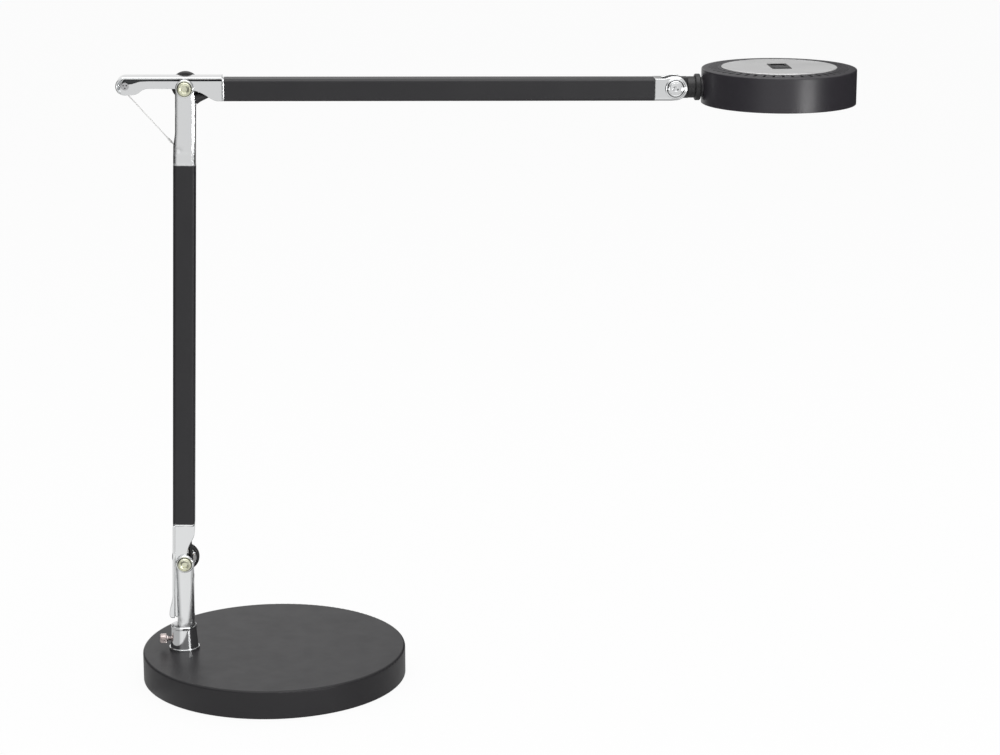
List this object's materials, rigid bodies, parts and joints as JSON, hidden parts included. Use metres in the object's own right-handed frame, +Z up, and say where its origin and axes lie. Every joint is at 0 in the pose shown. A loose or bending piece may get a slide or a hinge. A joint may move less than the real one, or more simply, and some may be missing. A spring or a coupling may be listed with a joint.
{
  "type": "counterweight balance desk lamp",
  "caption": "Desk lamp with a heavy round base, a swivelling post, two spring-balanced square-tube arms with open cast joints, and a flat round light head with a top rocker switch.",
  "frame": {"origin": "centre of the round base's underside, on the desk", "axes": "+X the way the upper arm reaches, from the post to the head; +Y away from the viewer of the pictured side; +Z up"},
  "size_m": [0.6287, 0.232, 0.5392],
  "materials": {
    "black_steel": "matte black powder coat on steel",
    "cast_iron": "rough cast iron, as cast",
    "pad_rubber": "soft matte foam rubber",
    "black_plastic": "satin black moulded plastic",
    "cable_sheath": "black PVC cable sheath",
    "chrome": "bright chrome plate on a zinc casting",
    "plain_steel": "plain zinc-plated steel",
    "nylon": "natural nylon",
    "knurled_screw": "knurled nickel-plated steel with a warm tint",
    "zinc_yellow": "yellow-passivated zinc plate",
    "brass": "turned brass",
    "black_aluminium": "matte black anodised aluminium",
    "spring_steel": "bright spring steel and wire",
    "silver_aluminium": "satin silver anodised aluminium",
    "bare_aluminium": "bare die-cast aluminium",
    "board": "white solder mask on a circuit board",
    "led": "yellow phosphor light-emitting diode",
    "white_plastic": "white reflector plastic",
    "diffuser": "opal diffuser sheet",
    "ring_plastic": "satin black moulded plastic"
  },
  "bodies": {
    "base": {"base_cover": "black_steel", "base_weight": "cast_iron", "base_pad": "pad_rubber", "power_inlet": "black_plastic", "stem_cable": "cable_sheath", "collar": "chrome", "collar_nut": "plain_steel", "swivel_bush": "nylon"},
    "thumbscrew": {"thumbscrew": "knurled_screw"},
    "post": {"post": "chrome", "post_clip": "plain_steel", "lower_wire_anchor": "plain_steel", "lower_pivot_screw": "zinc_yellow", "lower_pivot_sleeve": "plain_steel", "lower_friction_washers": "nylon"},
    "lower_knob": {"lower_friction_knob": "black_plastic", "lower_knob_insert": "brass"},
    "lower_arm": {"lower_tail_fitting": "chrome", "lower_tube": "black_aluminium", "lower_fork_fitting": "chrome", "lower_spring": "spring_steel", "lower_spring_rod": "spring_steel", "lower_wire_guide": "plain_steel", "lower_balance_wire": "spring_steel", "lower_joint_wire": "spring_steel", "lower_joint_cable": "cable_sheath", "lower_cable": "cable_sheath", "upper_wire_anchor": "plain_steel", "upper_pivot_screw": "zinc_yellow", "upper_pivot_sleeve": "plain_steel", "upper_friction_washers": "nylon"},
    "upper_knob": {"upper_friction_knob": "black_plastic", "upper_knob_insert": "brass"},
    "upper_arm": {"upper_tail_fitting": "chrome", "upper_tube": "black_aluminium", "front_fork": "chrome", "upper_spring": "spring_steel", "upper_spring_rod": "spring_steel", "upper_wire_guide": "plain_steel", "upper_balance_wire": "spring_steel", "upper_joint_wire": "spring_steel", "upper_joint_cable": "cable_sheath", "upper_cable": "cable_sheath", "head_pivot_screw": "chrome", "head_pivot_nut": "chrome", "head_friction_washers": "nylon"},
    "knuckle": {"neck_knuckle": "black_plastic", "neck_ring": "black_plastic", "neck_nut": "plain_steel"},
    "head": {"head_housing": "black_aluminium", "top_plate": "silver_aluminium", "heat_sink": "bare_aluminium", "led_board": "board", "leds": "led", "reflector": "white_plastic", "diffuser": "diffuser", "diffuser_ring": "ring_plastic", "switch_frame": "black_plastic", "sink_screws": "plain_steel"},
    "rocker": {"switch_rocker": "black_plastic"}
  },
  "joints": [
    {"name": "base_swivel", "type": "hinge", "parent": "base", "child": "post", "pos_m": [-0.0795, 0, 0.0255], "axis": [0, 0, 1], "range_deg": [-170, 170]},
    {"name": "thumbscrew_turn", "type": "hinge", "parent": "base", "child": "thumbscrew", "pos_m": [-0.0795, 0, 0.0345], "axis": [-1, 0, 0], "range_deg": [-180, 180]},
    {"name": "lower_arm_pivot", "type": "hinge", "parent": "post", "child": "lower_arm", "pos_m": [-0.0768, 0, 0.106], "axis": [0, 1, 0], "range_deg": [-1.5, 80], "deforming": ["lower_joint_wire", "lower_joint_cable"]},
    {"name": "lower_knob_turn", "type": "hinge", "parent": "post", "child": "lower_knob", "pos_m": [-0.0768, 0, 0.106], "axis": [0, 1, 0], "range_deg": [-180, 180]},
    {"name": "upper_arm_pivot", "type": "hinge", "parent": "lower_arm", "child": "upper_arm", "pos_m": [-0.06539, 0, 0.52405], "axis": [0, 1, 0], "range_deg": [-70, 35], "deforming": ["upper_joint_wire", "upper_joint_cable"]},
    {"name": "upper_knob_turn", "type": "hinge", "parent": "lower_arm", "child": "upper_knob", "pos_m": [-0.06539, 0, 0.52405], "axis": [0, 1, 0], "range_deg": [-180, 180]},
    {"name": "head_tilt", "type": "hinge", "parent": "upper_arm", "child": "knuckle", "pos_m": [0.34959, 0, 0.52042], "axis": [0, 1, 0], "range_deg": [-90, 90]},
    {"name": "head_turn", "type": "hinge", "parent": "knuckle", "child": "head", "pos_m": [0.34959, 0, 0.52042], "axis": [1, 0, 0], "range_deg": [-90, 90]},
    {"name": "switch_rock", "type": "hinge", "parent": "head", "child": "rocker", "pos_m": [0.43959, 0, 0.53432], "axis": [1, 0, 0], "range_deg": [0, 12]}
  ]
}
